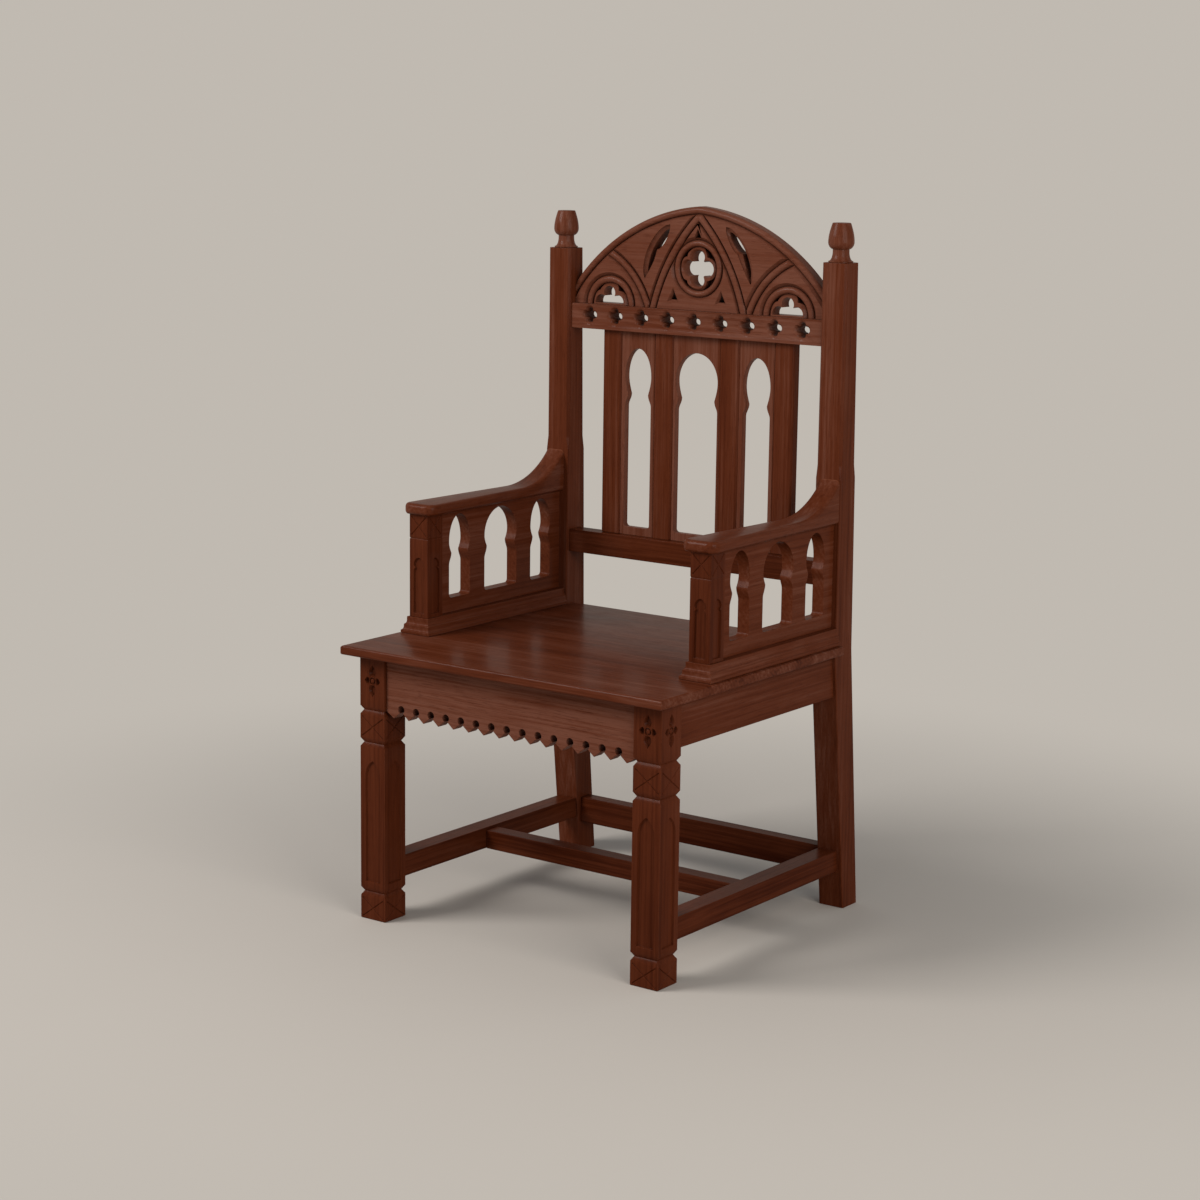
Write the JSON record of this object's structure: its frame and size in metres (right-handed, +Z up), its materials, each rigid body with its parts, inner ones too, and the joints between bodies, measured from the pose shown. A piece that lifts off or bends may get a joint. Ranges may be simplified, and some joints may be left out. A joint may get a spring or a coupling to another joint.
{
  "type": "celebrant chair",
  "caption": "Wooden Gothic-style celebrant armchair with a pierced tracery crest between turned finials, lancet panels, a scalloped apron and a stretcher base.",
  "frame": {"origin": "on the floor, under the middle of the chair's bounding box", "axes": "+Z up, +Y towards the chair's back, +X to the right of a viewer who stands in front of the chair"},
  "size_m": [0.626, 0.6054, 1.1453],
  "materials": {
    "frame_wood": "satin lacquer",
    "tracery_wood": "satin lacquer",
    "seat_wood": "satin lacquer, worn",
    "screw_steel": "plain"
  },
  "bodies": {
    "root": {"arm_base_left": "frame_wood", "arm_base_right": "frame_wood", "arm_base_screw_front_left": "screw_steel", "arm_base_screw_front_right": "screw_steel", "arm_base_screw_rear_left": "screw_steel", "arm_base_screw_rear_right": "screw_steel", "arm_left": "frame_wood", "arm_panel_left": "tracery_wood", "arm_panel_right": "tracery_wood", "arm_post_left": "frame_wood", "arm_post_right": "frame_wood", "arm_right": "frame_wood", "back_panel_centre": "tracery_wood", "back_panel_left": "tracery_wood", "back_panel_right": "tracery_wood", "back_stile_1": "frame_wood", "back_stile_2": "frame_wood", "back_stile_3": "frame_wood", "back_stile_4": "frame_wood", "corner_block_front_left": "frame_wood", "corner_block_front_right": "frame_wood", "corner_block_rear_left": "frame_wood", "corner_block_rear_right": "frame_wood", "corner_block_screw_front_left": "screw_steel", "corner_block_screw_front_right": "screw_steel", "corner_block_screw_rear_left": "screw_steel", "corner_block_screw_rear_right": "screw_steel", "crest_panel": "tracery_wood", "cross_stretcher": "frame_wood", "finial_left": "tracery_wood", "finial_right": "tracery_wood", "frieze_rail": "tracery_wood", "front_apron": "frame_wood", "front_leg_left": "frame_wood", "front_leg_right": "frame_wood", "lower_back_rail": "frame_wood", "rear_apron": "frame_wood", "rear_post_left": "frame_wood", "rear_post_right": "frame_wood", "rear_stretcher": "frame_wood", "seat_board": "seat_wood", "side_apron_left": "frame_wood", "side_apron_right": "frame_wood", "side_stretcher_left": "frame_wood", "side_stretcher_right": "frame_wood"}
  },
  "joints": []
}
